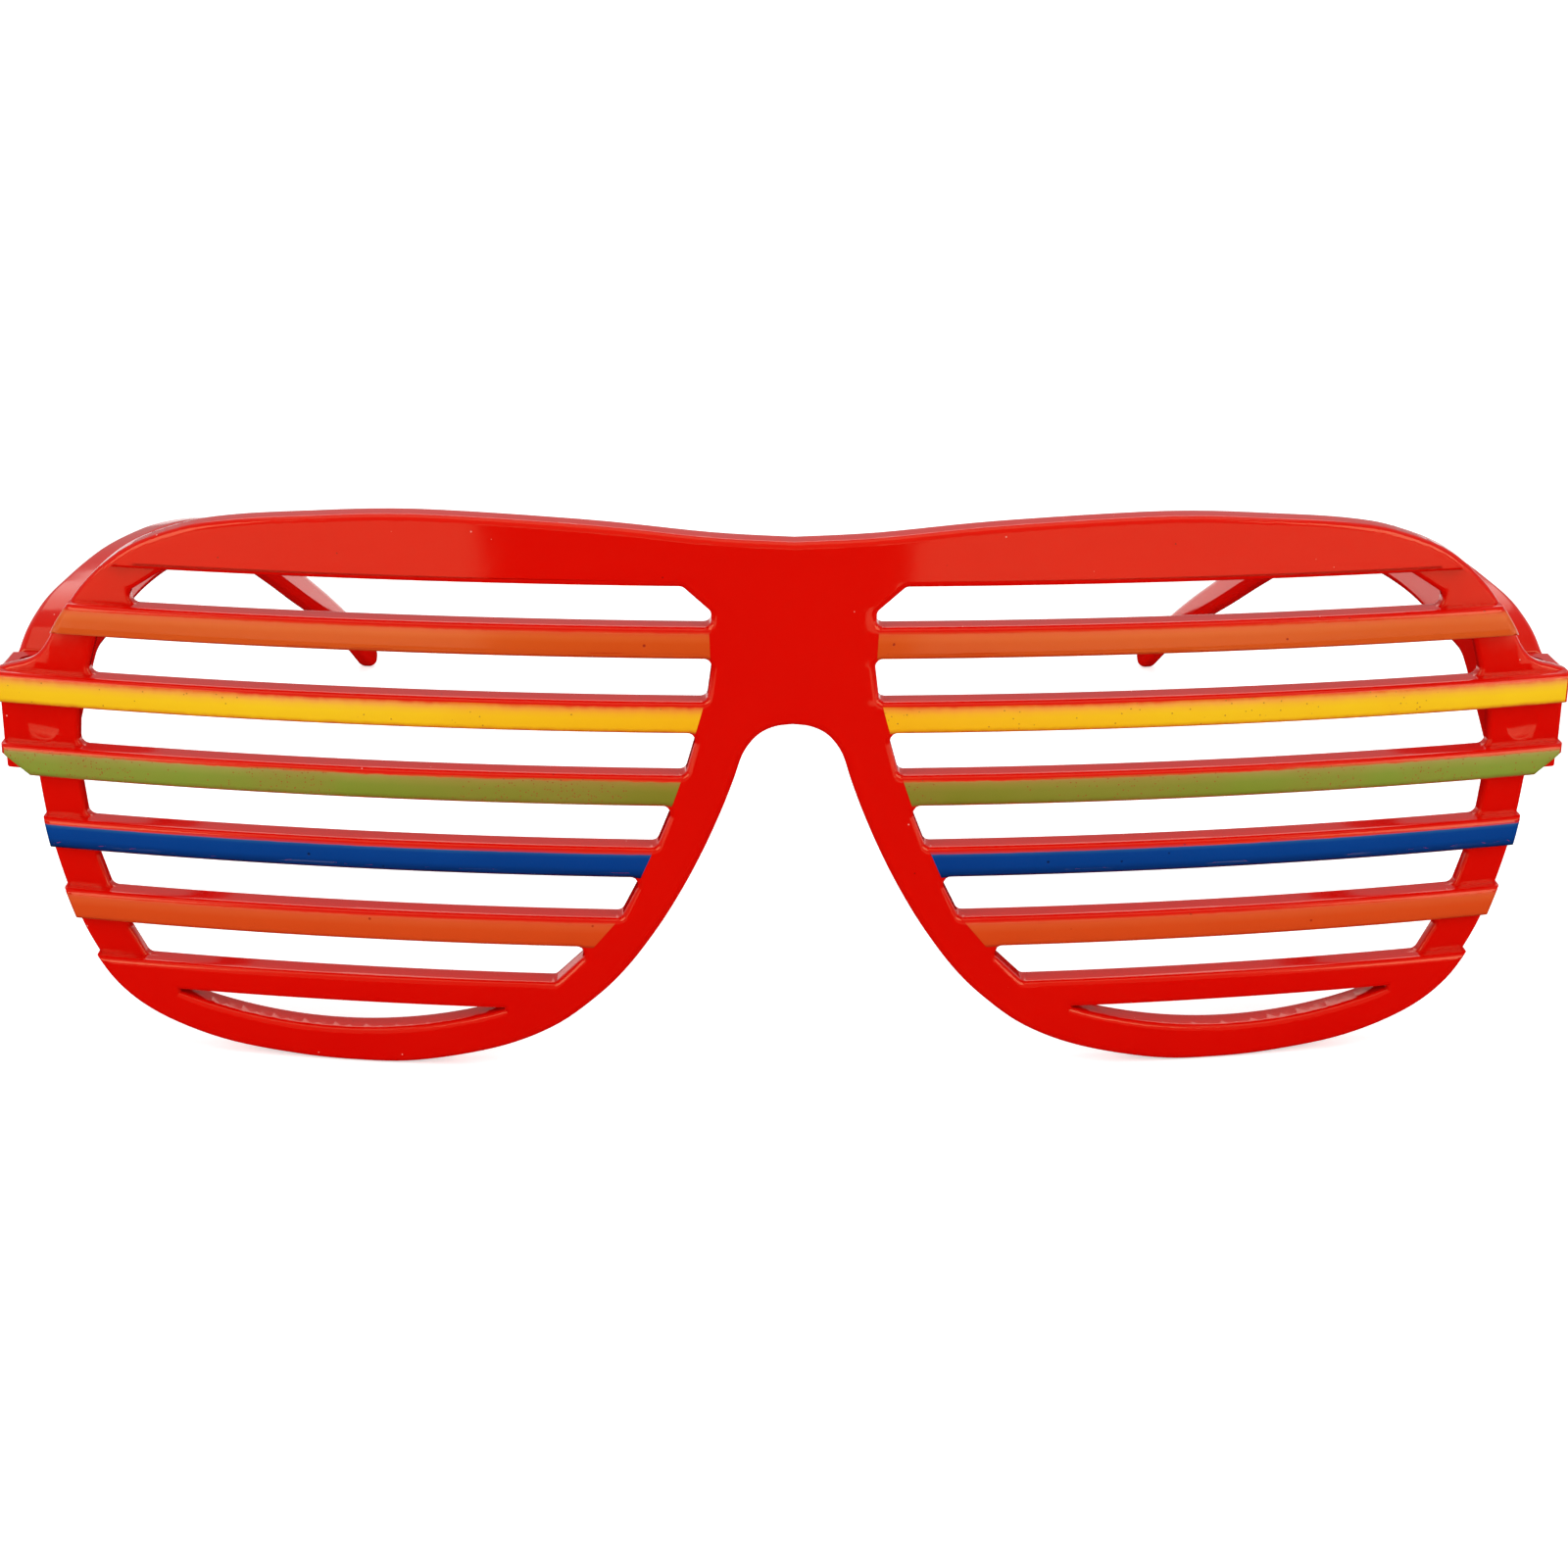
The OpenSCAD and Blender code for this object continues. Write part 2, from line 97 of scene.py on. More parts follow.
halfWidth = front["width"] / 2
splay = math.radians(temple["splay"])
tipBow = temple["tipRadius"] * (1 - math.cos(splay))
wrapDepth = front["wrapRadius"] - math.sqrt(front["wrapRadius"] ** 2 - halfWidth ** 2)
hingeBack = wrapDepth + front["thickness"] + lug["stand"]
frontY = -(hingeBack + temple["length"] * math.cos(splay) + tipBow) / 2
hingeX = halfWidth - lug["knuckle"]
hingeY = frontY + hingeBack
hingeZ = front["hingeShare"] * front["height"]
slatPitch = slat["pitchShare"] * front["height"]


def slatTop(i):
    return hingeZ - slat["drop"] + (1.5 - i) * slatPitch + slat["height"] / 2


def slatBottom(i):
    return slatTop(i) - slat["height"]


browEdge = slatBottom(-1) - slat["browLip"]
sillTop = slatTop(slat["count"]) + slat["sillLip"]
lugTop, lugBottom = slatTop(1), slatBottom(2)
lugHeight = lugTop - lugBottom
forkHalf = temple["tongueHeight"] / 2 + temple["forkGap"]
forkLow, forkHigh = hingeZ - forkHalf, hingeZ + forkHalf


def slotLow(i):
    return slatTop(i) if i < slat["count"] else sillTop


def slotHigh(i):
    return slatBottom(i - 1) if i > 0 else browEdge


def sized(shares):
    return [Vector((x * halfWidth, z * front["height"])) for x, z in shares]


def levels(shares):
    return [(z * front["height"], x * halfWidth) for z, x in shares]


def flipped(points):
    return [Vector((-p.x, p.y)) for p in reversed(points)]


def curveAt(p, i, t):
    a, b, c, d = p[max(i - 1, 0)], p[i], p[i + 1], p[min(i + 2, len(p) - 1)]
    return b + (c - a) * t / 2 + (a * 2 - b * 5 + c * 4 - d) * t * t / 2 \
        + (b * 3 - a - c * 3 + d) * t ** 3 / 2


def smoothLine(p, steps=6):
    return [curveAt(p, i, k / steps) for i in range(len(p) - 1) for k in range(steps)] + [p[-1]]


def lookup(key, table):
    table = sorted(table)
    for (k0, v0), (k1, v1) in zip(table, table[1:]):
        if k0 <= key <= k1:
            return v0 + (v1 - v0) * (key - k0) / (k1 - k0)
    return table[0][1] if key < table[0][0] else table[-1][1]


def corner(p, q, s, radius, steps=5):
    a, b = (p - q).normalized(), (s - q).normalized()
    half = a.angle(b) / 2
    middle = q + (a + b).normalized() * radius / math.sin(half)
    start = q + a * radius / math.tan(half) - middle
    end = q + b * radius / math.tan(half) - middle
    return [middle + radius * (start * (steps - k) + end * k).normalized()
        for k in range(steps + 1)]


def rounded(p, radii):
    n = len(p)
    return [v for i in range(n) for v in
        (corner(p[i - 1], p[i], p[(i + 1) % n], radii[i]) if radii[i] else [p[i]])]


inner, outer = levels(slotInnerShares), levels(slotOuterShares)


def slotCorners(i):      # counter-clockwise from the lower outer corner, on the wearer's left
    low, high = slotLow(i), slotHigh(i)
    inLow, inHigh = lookup(low, inner), lookup(high, inner)
    outLow, outHigh = lookup(low, outer), lookup(high, outer)
    if i > 0:
        return [(outLow, low), (outHigh, high), (inHigh, high), (inLow, low)]
    rise = high - low
    return [(outLow, low), (outLow, high - rise * bevelOut[1]),
        (outLow - halfWidth * bevelOut[0], high), (inLow + halfWidth * bevelIn[0], high),
        (inLow, high - rise * bevelIn[1]), (inLow, low)]


browLine = smoothLine(sized(browShares))
rimLine = smoothLine(sized(rimShares + noseShares))
lugEnd = [Vector((halfWidth, lugTop)),
    Vector((halfWidth, lugBottom + lugHeight * lug["bevel"][1])),
    Vector((halfWidth * (1 - lug["bevel"][0]), lugBottom))]
sideLine = browLine + lugEnd + rimLine           # clockwise, from the top's middle to the nose's


def closedLoop(side):
    return side + flipped(side)[1:-1]


sideFrom = 0.72 * halfWidth      # a point of the outline further out than this is on the side
outerEnd = sorted((p.y, p.x) for p in sideLine if p.x > sideFrom)      # the side's x at each level

# The front level is a comb: between the slats its slots run out through the sides
combSide = []
slotBands = [(slotLow(i), slotHigh(i)) for i in range(slat["count"] + 1)]
passed = -1
for p in sideLine:
    onSide = p.x > sideFrom
    while passed + 1 <= slat["count"] and onSide and p.y < slotHigh(passed + 1):
        passed += 1
        low, high = slotBands[passed]
        cut = [Vector(c) for c in slotCorners(passed)]
        ends = cut[2:] if passed > 0 else cut[3:]
        path = [Vector((lookup(high, outerEnd), high))] + ends
        path.append(Vector((lookup(low, outerEnd), low)))
        radii = [0] + [slat["cornerRadius"]] * len(ends) + [0]
        combSide += rounded(path, radii)
    inSlot = onSide and passed >= 0 and p.y > slotLow(passed)
    if not inSlot:
        combSide.append(p)


# The opening over each lower rim: its ends are cut off blunt, this far from the sill
crescent = {"place": 0.5766, "width": 32.4, "bow": 2.7, "sill": 2.8, "blunt": (0.1, 0.25)}


def crescentLoop():
    radius = ((crescent["width"] / 2) ** 2 + crescent["bow"] ** 2) / (2 * crescent["bow"])
    top = sillTop - crescent["sill"]
    middle = Vector((crescent["place"] * halfWidth, top + radius - crescent["bow"]))
    low, high = [math.acos((middle.y - top + b) / radius) for b in crescent["blunt"]]
    arc = [middle + radius * Vector((math.sin(a), -math.cos(a)))
        for a in [-low + (low + high) * k / 32 for k in range(33)]]
    return arc + [Vector((arc[-1].x, top)), Vector((arc[0].x, top))]


def bothSides(loop):
    return [loop, flipped(loop)]


def newObject(name, mesh):
    piece = bpy.data.objects.new(name, mesh)
    bpy.context.scene.collection.objects.link(piece)
    return piece


def newPiece(name, bm):      # the bmesh as an object
    mesh = bpy.data.meshes.new(name)
    bm.to_mesh(mesh)
    bm.free()
    return newObject(name, mesh)


def evaluated(piece):
    graph = bpy.context.evaluated_depsgraph_get()
    graph.update()
    return bpy.data.meshes.new_from_object(piece.evaluated_get(graph))


def remesh(piece, edit):      # runs an edit on the piece's mesh
    bm = bmesh.new()
    bm.from_mesh(piece.data)
    edit(bm)
    bm.to_mesh(piece.data)
    bm.free()
    return piece


# A flat outline with holes, grown to a solid with rounded edges. x and z in mm, depth along y
def flatSolid(name, loops, depthFrom, depthTo, edge, shrink=0.0, lying=False):
    curve = bpy.data.curves.new(name, "CURVE")
    curve.dimensions = "2D"
    curve.fill_mode = "BOTH"
    curve.bevel_depth = edge * mm
    curve.bevel_resolution = 4
    curve.extrude = ((depthTo - depthFrom) / 2 - edge) * mm
    curve.offset = -(edge + shrink) * mm
    for loop in loops:
        spline = curve.splines.new("POLY")
        spline.points.add(len(loop) - 1)
        for point, p in zip(spline.points, loop):
            point.co = (p.x * mm, p.y * mm, 0, 1)
        spline.use_cyclic_u = True
    piece = newObject(name, curve)
    mesh = evaluated(piece)
    bpy.data.objects.remove(piece)
    middle = (depthFrom + depthTo) / 2 * mm
    if lying:
        mesh.transform(Matrix.Translation((0, 0, middle)))
    else:
        mesh.transform(Matrix.Translation((0, middle, 0)) @ Matrix.Rotation(math.pi / 2, 4, "X"))
    piece = newObject(name, mesh)

    def clean(bm):
        bmesh.ops.remove_doubles(bm, verts=bm.verts, dist=mergeGap)
        bmesh.ops.dissolve_degenerate(bm, edges=bm.edges, dist=mergeGap)
        bmesh.ops.recalc_face_normals(bm, faces=bm.faces)
    return remesh(piece, clean)


def cutBehind(piece, depth):      # cuts off what lies behind a depth and closes the cut
    def cut(bm):
        made = bmesh.ops.bisect_plane(bm, geom=bm.verts[:] + bm.edges[:] + bm.faces[:],
            dist=1e-7, plane_co=(0, depth * mm, 0), plane_no=(0, 1, 0), clear_outer=True)
        rim = [e for e in made["geom_cut"] if isinstance(e, bmesh.types.BMEdge)]
        bmesh.ops.triangle_fill(bm, use_beauty=True, use_dissolve=False, edges=rim)
        bmesh.ops.recalc_face_normals(bm, faces=bm.faces)
    return remesh(piece, cut)


def combine(piece, other, operation):
    modifier = piece.modifiers.new("combine", "BOOLEAN")
    modifier.operation = operation
    modifier.solver = "EXACT"
    modifier.object = other
    mesh = evaluated(piece)
    piece.modifiers.clear()
    piece.data = mesh
    bpy.data.objects.remove(other)
    return piece


def settle(bm):      # no slivers and no bent faces, which the next boolean would leave open
    bmesh.ops.remove_doubles(bm, verts=bm.verts, dist=mergeGap)
    bmesh.ops.dissolve_degenerate(bm, edges=bm.edges, dist=mergeGap)
    bmesh.ops.triangulate(bm, faces=bm.faces)


def slices(bm, width=front["sliceWidth"]):
    count = int(halfWidth / width)
    for k in range(-count, count + 1):
        bmesh.ops.bisect_plane(bm, geom=bm.verts[:] + bm.edges[:] + bm.faces[:], dist=1e-7,
            plane_co=(k * width * mm, 0, 0), plane_no=(1, 0, 0))


def bend(bm):      # wraps the flat front round the face: x stays, depth is measured inwards
    for v in bm.verts:
        radius = front["wrapRadius"] * mm - v.co.y
        v.co.y = (frontY + front["wrapRadius"]) * mm - math.sqrt(radius ** 2 - v.co.x ** 2)


past = 1.0      # mm that a cutter stands out past what it cuts


def box(name, low, high):
    bm = bmesh.new()
    bmesh.ops.create_cube(bm, size=1)
    size = [(b - a) * mm for a, b in zip(low, high)]
    middle = [(b + a) / 2 * mm for a, b in zip(low, high)]
    bmesh.ops.scale(bm, vec=size, verts=bm.verts)
    bmesh.ops.translate(bm, vec=middle, verts=bm.verts)
    return newPiece(name, bm)


def rod(name, radius, low, high, x=0.0, y=0.0):
    bm = bmesh.new()
    bmesh.ops.create_cone(bm, cap_ends=True, segments=48, radius1=radius * mm,
        radius2=radius * mm, depth=(high - low) * mm)
    bmesh.ops.translate(bm, vec=(x * mm, y * mm, (low + high) / 2 * mm), verts=bm.verts)
    return newPiece(name, bm)


def ball(name, radius, x, y, z):
    bm = bmesh.new()
    bmesh.ops.create_uvsphere(bm, u_segments=192, v_segments=96, radius=radius * mm)
    bmesh.ops.rotate(bm, verts=bm.verts, matrix=Matrix.Rotation(math.pi / 2, 3, "X"))
    bmesh.ops.translate(bm, vec=(x * mm, y * mm, z * mm), verts=bm.verts)
    return newPiece(name, bm)


def flipX(piece, name):      # a mirrored copy
    mesh = piece.data.copy()
    mesh.name = name
    mesh.transform(Matrix.Scale(-1, 4, (1, 0, 0)))
    mesh.flip_normals()
    return newObject(name, mesh)


# The coat on each slat: its thickness, its distances from the slat's edges and how deep it goes
# round them, then the finish that all five colours share
paint = {
    "thickness": 0.03, "topGap": 0.36, "bottomGap": 0.08, "reach": 0.45, "inset": 0.2,
    "endGap": 0.35,
    "ior": 1.45, "gleam": "#FFE4B0",
    "raggedSize": 1.1, "patchSize": 9.0,           # sizes of the ragged edge and of the patches
    "grainHeight": 0.06, "pitDepth": 0.03,
    "speckFade": (0.34, 0.2), "speckPatches": (0.42, 0.62), "cloudPatches": (0.35, 0.75),
    "bridgeShadeFrom": 10.0,                           # the painted shade near the bridge is full this far from the middle
}


# A film of paint over the front of slat i: the skin of the comb, lifted off it
def paintFilm(i, side, name):
    piece = newObject(name, comb.data.copy())
    top, bottom = slatTop(i), slatBottom(i)
    rise = (lookup(top, inner) - lookup(bottom, inner)) / (top - bottom)
    planes = [((0, 0, top - paint["topGap"]), (0, 0, 1)),
        ((0, 0, bottom + paint["bottomGap"]), (0, 0, -1)),
        ((0, paint["reach"], 0), (0, 1, 0)),
        ((side * (halfWidth - paint["endGap"]), 0, 0), (side, 0, 0)),
        ((side * (lookup(top, inner) + paint["inset"]), 0, top), (-side, 0, rise))]

    def trim(bm):
        for point, normal in planes:
            bmesh.ops.bisect_plane(bm, geom=bm.verts[:] + bm.edges[:] + bm.faces[:], dist=1e-7,
                plane_co=Vector(point) * mm, plane_no=normal, clear_outer=True)
        slices(bm)
        bm.normal_update()
        lift = bm.verts.layers.float_vector.new("lift")
        for v in bm.verts:
            v[lift] = v.normal
            v.co -= v.normal * paint["thickness"] * mm
        made = bmesh.ops.extrude_face_region(bm, geom=bm.faces[:], use_keep_orig=True)["geom"]
        for v in made:
            if isinstance(v, bmesh.types.BMVert):
                v.co += v[lift] * 2 * paint["thickness"] * mm
        bmesh.ops.recalc_face_normals(bm, faces=bm.faces)
        bend(bm)
    return remesh(piece, trim)


pad = {"depth": 5.0, "width": 2.6, "height": 14.0, "bowShare": 0.6, "edge": 0.9, "inset": 0.3}


def nosePad():
    noseTable = sorted((p.y, p.x) for p in smoothLine(sized(noseShares)))
    top = front["height"] * noseShares[-1][1] - pad["height"] / 2
    rows = 14
    heights = [top - pad["height"] * k / rows for k in range(rows + 1)]
    loop = [Vector((lookup(z, noseTable) + pad["inset"], z)) for z in heights]
    loop += [Vector((lookup(z, noseTable) + pad["width"], z)) for z in reversed(heights)]
    thickness = front["thickness"]
    piece = flatSolid("pad", [loop], thickness / 2, thickness + pad["depth"], pad["edge"])
    bowRadius, middle = pad["bowShare"] * pad["height"], top - pad["height"] / 2

    def bow(bm):      # the pad's back follows a circle seen from the side
        for v in bm.verts:
            depth, z = v.co.y / mm, v.co.z / mm
            if depth > thickness:
                reach = thickness + pad["depth"] - bowRadius \
                    + math.sqrt(bowRadius ** 2 - (z - middle) ** 2)
                v.co.y = (thickness + (depth - thickness) * (reach - thickness) / pad["depth"]) * mm
    return remesh(piece, bow)


def swingRoom(x):      # what a tongue sweeps in the fork
    return rod("swing", temple["tongueRadius"] + temple["swingGap"], forkLow, forkHigh, x, hingeY)


screw = {
    "radius": 0.7, "headRadius": 1.1, "headHeight": 0.8, "sink": 0.4, "gap": 0.05,
    "chamfer": 0.1, "headEdge": 0.06, "slotDepth": 0.4,
    "dome": [(1, 0.3), (0.9, 0.14), (0.6, 0.04)],      # share of the head's radius, fall from top
    "turn": 35,                                        # degrees that the slot is turned
}


def hingeLug():
    def plateDepth(x):
        radius = front["wrapRadius"] - lug["root"]
        return frontY + front["wrapRadius"] - math.sqrt(radius ** 2 - x ** 2)
    left, knuckle = hingeX - lug["knuckle"], lug["knuckle"]
    turns = [math.radians(90 + 10 * k) for k in range(10)]
    loop = [Vector((left, plateDepth(left))), Vector((halfWidth, plateDepth(halfWidth))),
        Vector((halfWidth, hingeY + knuckle))]
    loop += [Vector((hingeX + knuckle * math.cos(a), hingeY + knuckle * math.sin(a)))
        for a in turns]
    piece = flatSolid("lug", [loop], lugBottom, lugTop, lug["edge"], lying=True)
    reach = knuckle + past
    flat = temple["tongueWidth"] / 2 + temple["swingGap"]
    combine(piece, box("back", (hingeX - reach, hingeY, forkLow),
        (hingeX + reach, hingeY + reach, forkHigh)), "DIFFERENCE")
    combine(piece, box("inside", (hingeX - reach, hingeY - flat, forkLow),
        (hingeX, hingeY + reach, forkHigh)), "DIFFERENCE")
    sink = lugTop - screw["headHeight"] - screw["sink"]
    for name, radius, low in (("hole", screw["radius"], lugBottom + lug["floor"]),
            ("sink", screw["headRadius"], sink)):
        combine(piece, rod(name, radius + screw["gap"], low, lugTop + past, hingeX, hingeY),
            "DIFFERENCE")
    return piece


# Stations of a temple: shares of its length, the hinge's height, its height, its thickness
armShares = [(0.0726, 0.148, 1.5, 1.68), (0.129, 0.188, 1.45, 1.46), (0.1935, 0.214, 1.34, 1.22),
    (0.258, 0.213, 1.2, 1.1), (0.3226, 0.193, 1.1, 1.03), (0.403, 0.14, 1.05, 1),
    (0.484, 0.06, 1, 1), (0.5645, -0.062, 0.94, 0.97), (0.645, -0.215, 0.88, 0.93),
    (0.726, -0.376, 0.83, 0.93), (0.8145, -0.549, 0.76, 0.93), (0.895, -0.721, 0.69, 0.93)]


# A ring of a temple's section: a rounded rectangle of height h and thickness t
def ringPoints(at, way, h, t):
    radius = min(temple["edgeRadius"], temple["roundShare"] * min(h, t))
    turns = [90 * q + 6 + 13 * k for q in range(4) for k in range(7)]      # seven to a corner
    ring = []
    for turn in turns:
        a = math.radians(turn)
        side = (t / 2 - radius) * math.copysign(1, math.cos(a)) + radius * math.cos(a)
        rise = (h / 2 - radius) * math.copysign(1, math.sin(a)) + radius * math.sin(a)
        ring.append(Vector((side, at[0] - way[1] * rise, at[1] + way[0] * rise)) * mm)
    return ring


def makeTemple():
    length = temple["length"]
    start = lug["knuckle"] + temple["swingGap"]
    stations = [Vector((start, 0, lugHeight - temple["forkGap"], temple["rootThickness"]))]
    stations += [Vector((s[0] * length, s[1] * hingeZ, s[2] * temple["height"],
        s[3] * temple["thickness"])) for s in armShares]
    tip = temple["tipRadius"]
    stations.append(Vector((length - tip, tip - hingeZ, 2 * tip,
        temple["thickness"] * temple["tipThinShare"])))
    steps = 8
    line = smoothLine(stations, steps)
    rings = []
    for i, s in enumerate(line):
        way = line[min(i + 1, len(line) - 1)].xy - line[max(i - 1, 0)].xy
        # the first rings tilt little by little, so that none cross
        way = Vector((way.x, way.y * min(i / steps, 1) ** 2)).normalized()
        rings.append(ringPoints(s.xy, way, s[2], s[3]))
    last = line[-1]
    for degrees in (15, 30, 45, 60, 72, 82):      # the round end
        a = math.radians(degrees)
        rings.append(ringPoints(last.xy + way * tip * math.sin(a), way,
            last[2] * math.cos(a), last[3] * math.cos(a)))
    bm = bmesh.new()
    verts = [bm.verts.new(co) for co in rings[0]]
    edges = [bm.edges.new((verts[k - 1], verts[k])) for k in range(len(verts))]
    root = bm.faces.new(verts)
    for ring in rings[1:]:
        made = bmesh.ops.extrude_edge_only(bm, edges=edges)["geom"]
        old = {v: k for k, v in enumerate(verts)}
        edges = [g for g in made if isinstance(g, bmesh.types.BMEdge)
            and not any(v in old for v in g.verts)]
        fresh = [None] * len(verts)
        for v in [g for g in made if isinstance(g, bmesh.types.BMVert)]:
            joined = [e.other_vert(v) for e in v.link_edges if e.other_vert(v) in old][0]
            fresh[old[joined]] = v
            v.co = ring[old[joined]]
        verts = fresh
    bm.faces.new(verts)
    bmesh.ops.recalc_face_normals(bm, faces=bm.faces)
    bmesh.ops.bevel(bm, geom=[e for e in bm.edges if root in e.link_faces],
        offset=temple["rootBevel"] * mm, affect="EDGES", segments=3, profile=0.5, material=-1)
    piece = newPiece("temple_left_arm", bm)
    half, width = temple["tongueHeight"] / 2, temple["tongueWidth"] / 2
    radius, inArm = temple["tongueRadius"], start + temple["tongueRoot"]
    sweep = math.pi - math.asin(width / radius)
    loop = [Vector((-width, inArm))]
    loop += [Vector((radius * math.sin(a), -radius * math.cos(a)))
        for a in [sweep * (k / 12 - 1) for k in range(25)]]
    loop.append(Vector((width, inArm)))
    tongue = flatSolid("tongue", [loop], -half, half, temple["tongueEdge"], lying=True)
    combine(piece, tongue, "UNION")
    combine(piece, rod("bore", screw["radius"] + screw["gap"], -half - past, half + past),
        "DIFFERENCE")
    piece.data.transform(Matrix.Translation(Vector((hingeX, hingeY, hingeZ)) * mm)
        @ Matrix.Rotation(splay, 4, "Z"))
    return piece


def makeScrew(name):
    headTop = lugTop - screw["sink"]
    headLow = headTop - screw["headHeight"]
    shankEnd = lugBottom + (lugHeight - temple["tongueHeight"]) / 4 + screw["gap"]
    shank, head, edge = screw["radius"], screw["headRadius"], screw["headEdge"]
    profile = [(0, shankEnd), (shank - screw["chamfer"], shankEnd),
        (shank, shankEnd + screw["chamfer"]), (shank, headLow), (head - edge, headLow),
        (head, headLow + edge)]
    profile += [(head * share, headTop - fall) for share, fall in screw["dome"]] + [(0, headTop)]
    bm = bmesh.new()
    verts = [bm.verts.new((x * mm, 0, z * mm)) for x, z in profile]
    edges = [bm.edges.new(pair) for pair in zip(verts, verts[1:])]
    bmesh.ops.spin(bm, geom=verts + edges, cent=(0, 0, 0), axis=(0, 0, 1), angle=2 * math.pi,
        steps=40, use_merge=True, use_duplicate=False)
    bmesh.ops.remove_doubles(bm, verts=bm.verts, dist=0.001 * mm)
    bmesh.ops.recalc_face_normals(bm, faces=bm.faces)
    piece = newPiece(name, bm)
    long, wide = 2, head / 6      # half of the slot's cutter
    combine(piece, box("driver", (-long, -wide, headTop - screw["slotDepth"]),
        (long, wide, headTop + past)), "DIFFERENCE")
    piece.data.transform(Matrix.Translation(Vector((hingeX, hingeY, 0)) * mm)
        @ Matrix.Rotation(math.radians(screw["turn"]), 4, "Z"))
    return piece


def linear(value):
    return value / 12.92 if value <= 0.04045 else ((value + 0.055) / 1.055) ** 2.4


def colour(code):      # "#RRGGBB" as the linear colour that Blender's sockets take
    return tuple(linear(int(code[k:k + 2], 16) / 255) for k in (1, 3, 5)) + (1.0,)


# Inputs go by name or place. MapRange: 0 value, 1 and 2 from, 3 and 4 to. Mix: 0 share, 6 and 7
# the two colours
def addNode(tree, kind, inputs=None, **settings):
    node = tree.nodes.new("ShaderNode" + kind)
    for key, value in settings.items():
        setattr(node, key, value)
    for socket, value in (inputs or {}).items():
        if isinstance(value, bpy.types.NodeSocket):
            tree.links.new(value, node.inputs[socket])
        else:
            node.inputs[socket].default_value = value
    return node


def newMaterial(name):
    made = bpy.data.materials.new(name)
    made.use_nodes = True
    made.node_tree.nodes.clear()
    return made, made.node_tree


def perMm(size):      # noise scale for features of a size in mm, on coordinates in metres
    return 1 / (size * mm)


plastic = {
    "red": "#DE0A01", "deepRed": "#D60401", "dust": "#F6B0A4", "grime": "#7A0A08",
    "gleam": "#FFE2A4", "roughness": 0.09, "ior": 1.45,
    "flow": 14.0, "peel": 0.5, "speck": 0.9,                        # widths of the patterns
    "flowHeight": 0.25, "peelHeight": 0.02, "dustHeight": 0.05,
    "dotFade": (0.1, 0.05), "glossSpread": (0.03, 0.04),
    "dustShare": (0.955, 0.965), "grimeShare": (0.966, 0.974),      # cells past these are specks
}


# Injection-moulded polystyrene: a hard wet gloss, faint flow waves, dust caught in the surface
def mouldedPolystyrene():
    made, tree = newMaterial("mouldedPolystyreneRed")
    where = addNode(tree, "TexCoord").outputs["Object"]
    flow = addNode(tree, "TexNoise", {"Vector": where, "Scale": perMm(plastic["flow"]),
        "Detail": 2.0, "Roughness": 0.4})
    peel = addNode(tree, "TexNoise", {"Vector": where, "Scale": perMm(plastic["peel"]),
        "Detail": 1.0})
    tone = addNode(tree, "Mix", {0: flow.outputs[0], 6: colour(plastic["deepRed"]),
        7: colour(plastic["red"])}, data_type="RGBA")
    cells = addNode(tree, "TexVoronoi", {"Vector": where, "Scale": perMm(plastic["speck"])})
    # one cell in a few dozen holds a speck; its colour says which
    pick = addNode(tree, "SeparateColor", {0: cells.outputs["Color"]})
    fade, dusty, grimy = plastic["dotFade"], plastic["dustShare"], plastic["grimeShare"]
    dot = addNode(tree, "MapRange", {0: cells.outputs["Distance"], 1: fade[0], 2: fade[1]})
    rare = addNode(tree, "MapRange", {0: pick.outputs[0], 1: dusty[0], 2: dusty[1]})
    isDust = addNode(tree, "Math", {0: dot.outputs[0], 1: rare.outputs[0]}, operation="MULTIPLY")
    dark = addNode(tree, "MapRange", {0: pick.outputs[1], 1: grimy[0], 2: grimy[1]})
    isGrime = addNode(tree, "Math", {0: dot.outputs[0], 1: dark.outputs[0]}, operation="MULTIPLY")
    dusted = addNode(tree, "Mix", {0: isDust.outputs[0], 6: tone.outputs[2],
        7: colour(plastic["dust"])}, data_type="RGBA")
    final = addNode(tree, "Mix", {0: isGrime.outputs[0], 6: dusted.outputs[2],
        7: colour(plastic["grime"])}, data_type="RGBA")
    waves = addNode(tree, "Bump", {"Height": flow.outputs[0], "Strength": 0.35,
        "Distance": plastic["flowHeight"] * mm})
    skin = addNode(tree, "Bump", {"Height": peel.outputs[0], "Strength": 0.05,
        "Distance": plastic["peelHeight"] * mm, "Normal": waves.outputs[0]})
    bumps = addNode(tree, "Bump", {"Height": isDust.outputs[0], "Strength": 0.4,
        "Distance": plastic["dustHeight"] * mm, "Normal": skin.outputs[0]})
    less, more = plastic["glossSpread"]
    gloss = addNode(tree, "MapRange", {0: peel.outputs[0], 3: plastic["roughness"] - less,
        4: plastic["roughness"] + more})
    shader = addNode(tree, "BsdfPrincipled", {"Base Color": final.outputs[2],
        "Roughness": gloss.outputs[0], "IOR": plastic["ior"],
        "Specular Tint": colour(plastic["gleam"]), "Normal": bumps.outputs[0]})
    addNode(tree, "OutputMaterial", {"Surface": shader.outputs[0]})
    return made
